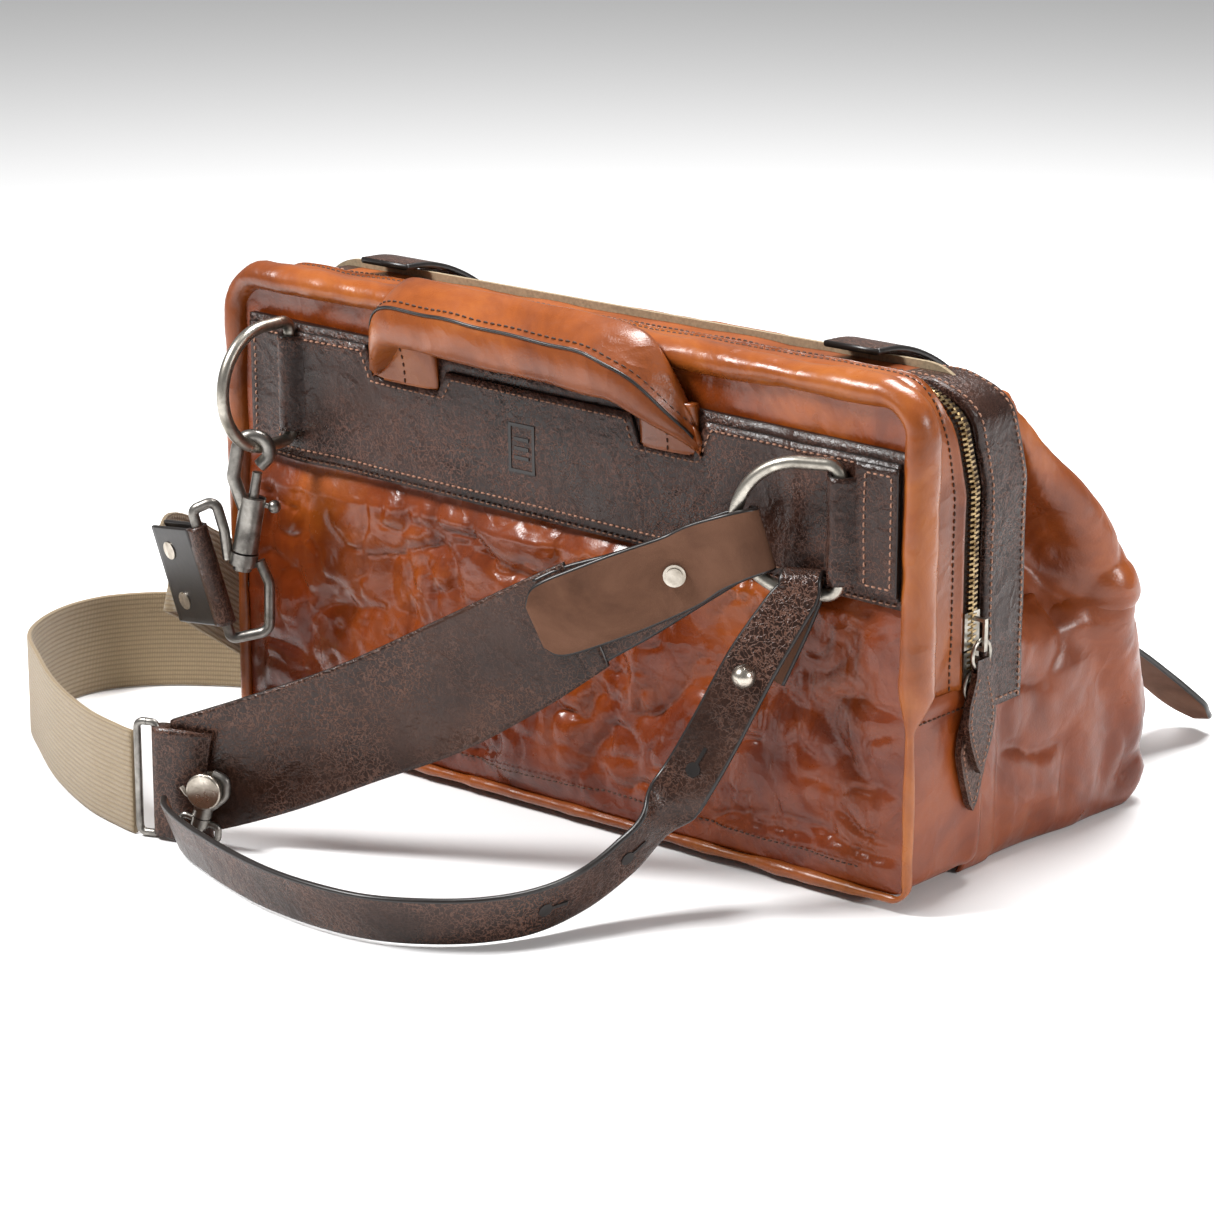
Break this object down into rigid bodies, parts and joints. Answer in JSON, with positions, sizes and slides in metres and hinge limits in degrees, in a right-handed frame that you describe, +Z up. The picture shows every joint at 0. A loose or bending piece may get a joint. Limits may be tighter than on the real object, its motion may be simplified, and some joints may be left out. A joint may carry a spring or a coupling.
{
  "type": "doctor bag",
  "caption": "Framed doctor bag in waxed leather with a zipped rear panel, a folding grip, D-rings and a shoulder strap on a bolt snap, lying in front of it.",
  "frame": {"origin": "centre of the base, on the floor", "axes": "+Z up, +X to the right seen from the wearer's panel, +Y from the wearer's panel to the front"},
  "size_m": [0.5143, 0.4958, 0.25],
  "materials": {
    "panel_leather": "crinkled, glossy wax",
    "tan_leather": "smooth, satin",
    "brown_leather": "smooth, satin",
    "dark_leather": "crackled, waxed",
    "strap_leather": "crackled, waxed",
    "flesh_leather": "flesh side out, matte",
    "lining": "cotton twill",
    "zip_fabric": "woven tape",
    "webbing_fabric": "coarse twill",
    "board": "stiff board",
    "antique_brass": "antiqued",
    "dark_nickel": "antiqued, satin",
    "gunmetal": "die cast, satin",
    "frame_steel": "black lacquer"
  },
  "bodies": {
    "bag": {"back_panel": "panel_leather", "panel_rim": "tan_leather", "rear_gusset": "tan_leather", "lower_gusset": "tan_leather", "zip_tape": "zip_fabric", "zip_teeth": "antique_brass", "zip_strip": "brown_leather", "divider_panel": "lining", "base_panel": "flesh_leather", "base_board": "board", "front_panel": "panel_leather", "rear_frame": "frame_steel", "hinge_pins": "frame_steel", "front_fold": "brown_leather", "side_gusset_left": "brown_leather", "side_gusset_right": "brown_leather", "gusset_fold_left": "brown_leather", "gusset_fold_right": "brown_leather", "strap_bridge_left": "brown_leather", "strap_bridge_right": "brown_leather", "snap_sockets": "antique_brass", "band_base": "dark_leather", "band_top": "dark_leather", "ring_loops": "tan_leather", "handle_tabs": "tan_leather", "webbing": "webbing_fabric", "webbing_rise": "webbing_fabric", "wire_loop": "dark_nickel", "strap_wide": "strap_leather", "strap_rivets": "antique_brass", "clasp_stud": "antique_brass", "strap_neck": "strap_leather", "strap_return": "flesh_leather", "strap_narrow": "strap_leather", "narrow_rise": "strap_leather", "clasp_bow": "dark_nickel"},
    "front_frame": {"front_frame": "frame_steel", "front_flap": "brown_leather"},
    "closing_strap_left": {"closing_strap_left": "brown_leather", "snap_disc_left": "antique_brass"},
    "closing_strap_right": {"closing_strap_right": "brown_leather", "snap_disc_right": "antique_brass"},
    "handle": {"handle_grip": "tan_leather"},
    "d_ring_left": {"d_ring_left": "dark_nickel"},
    "d_ring_right": {"d_ring_right": "dark_nickel", "strap_stud": "antique_brass"},
    "hook_base": {"swivel_eye": "gunmetal", "hook_tab": "dark_leather", "hook_tab_rivets": "antique_brass"},
    "snap_hook": {"snap_hook": "gunmetal"},
    "snap_bolt": {"snap_bolt": "gunmetal"},
    "clasp": {"clasp_body": "dark_nickel", "clasp_pin": "dark_nickel"},
    "clasp_lever": {"clasp_lever": "dark_nickel"},
    "zip_slider_upper": {"zip_slider_upper": "antique_brass"},
    "pull_upper": {"pull_ring_upper": "antique_brass", "pull_tab_upper": "strap_leather"},
    "zip_slider_lower": {"zip_slider_lower": "antique_brass"},
    "pull_lower": {"pull_ring_lower": "antique_brass", "pull_tab_lower": "strap_leather"}
  },
  "joints": [
    {"name": "strap_right_lift", "type": "hinge", "parent": "bag", "child": "closing_strap_right", "pos_m": [0, -0.053, 0.236], "axis": [1, 0, 0], "range_deg": [0, 150], "deforming": ["strap_bridge_right"]},
    {"name": "strap_left_lift", "type": "hinge", "parent": "bag", "child": "closing_strap_left", "pos_m": [0, -0.053, 0.236], "axis": [1, 0, 0], "range_deg": [0, 150], "deforming": ["strap_bridge_left"]},
    {"name": "mouth_open", "type": "hinge", "parent": "bag", "child": "front_frame", "pos_m": [0, 0.0502, 0.1369], "axis": [-1, 0, 0], "range_deg": [0, 60], "deforming": ["gusset_fold_left", "gusset_fold_right", "front_fold"]},
    {"name": "handle_fold", "type": "hinge", "parent": "bag", "child": "handle", "pos_m": [0, -0.107, 0.214], "axis": [1, 0, 0], "range_deg": [0, 95]},
    {"name": "d_ring_left_swing", "type": "hinge", "parent": "bag", "child": "d_ring_left", "pos_m": [-0.154, -0.111, 0.187], "axis": [0, 0, 1], "range_deg": [-20, 20]},
    {"name": "hook_carry", "type": "hinge", "parent": "bag", "child": "hook_base", "pos_m": [-0.154, -0.111, 0.187], "axis": [0, 0, 1], "range_deg": [-20, 20], "deforming": ["webbing_rise"]},
    {"name": "snap_hook_turn", "type": "hinge", "parent": "hook_base", "child": "snap_hook", "pos_m": [-0.1571, -0.1415, 0.1072], "axis": [0.133, 0.112, 0.9848], "range_deg": [-10, 3]},
    {"name": "snap_bolt_slide", "type": "slide", "parent": "snap_hook", "child": "snap_bolt", "axis": [-0.133, -0.112, -0.9848], "range_m": [0, 0.01], "stiffness_N_per_m": 200},
    {"name": "d_ring_right_swing", "type": "hinge", "parent": "bag", "child": "d_ring_right", "pos_m": [0.174, -0.111, 0.1705], "axis": [0, 0, 1], "range_deg": [-12, 12], "deforming": ["strap_neck", "strap_return", "narrow_rise"]},
    {"name": "clasp_turn", "type": "hinge", "parent": "bag", "child": "clasp", "pos_m": [-0.08708, -0.23705, 0.0295], "axis": [0.2501, 0.098, 0.9633], "range_deg": [-6, 6]},
    {"name": "clasp_lever_open", "type": "hinge", "parent": "clasp", "child": "clasp_lever", "pos_m": [-0.09186, -0.23892, 0.02003], "axis": [0.3653, -0.9309, 0], "range_deg": [0, 5], "stiffness_Nm_per_rad": 0.1},
    {"name": "zip_upper_slide", "type": "slide", "parent": "bag", "child": "zip_slider_upper", "axis": [0, 0, 1], "range_m": [0, 0.054]},
    {"name": "zip_lower_slide", "type": "slide", "parent": "bag", "child": "zip_slider_lower", "axis": [0, 0, 1], "range_m": [0, 0.027]},
    {"name": "pull_lower_swing", "type": "hinge", "parent": "zip_slider_lower", "child": "pull_lower", "pos_m": [0.205, -0.053, 0.1], "axis": [0, -1, 0], "range_deg": [0, 100]},
    {"name": "pull_upper_swing", "type": "hinge", "parent": "zip_slider_upper", "child": "pull_upper", "pos_m": [0.2087, -0.053, 0.1152], "axis": [0, -1, 0], "range_deg": [0, 100]}
  ],
  "couplings": [
    {"joint": "strap_left_lift", "follows": "strap_right_lift", "ratio": 1},
    {"joint": "mouth_open", "follows": "strap_right_lift", "ratio": 0.4},
    {"joint": "hook_carry", "follows": "d_ring_left_swing", "ratio": 1},
    {"joint": "zip_lower_slide", "follows": "zip_upper_slide", "ratio": 0.5},
    {"joint": "pull_upper_swing", "follows": "pull_lower_swing", "ratio": 1}
  ]
}
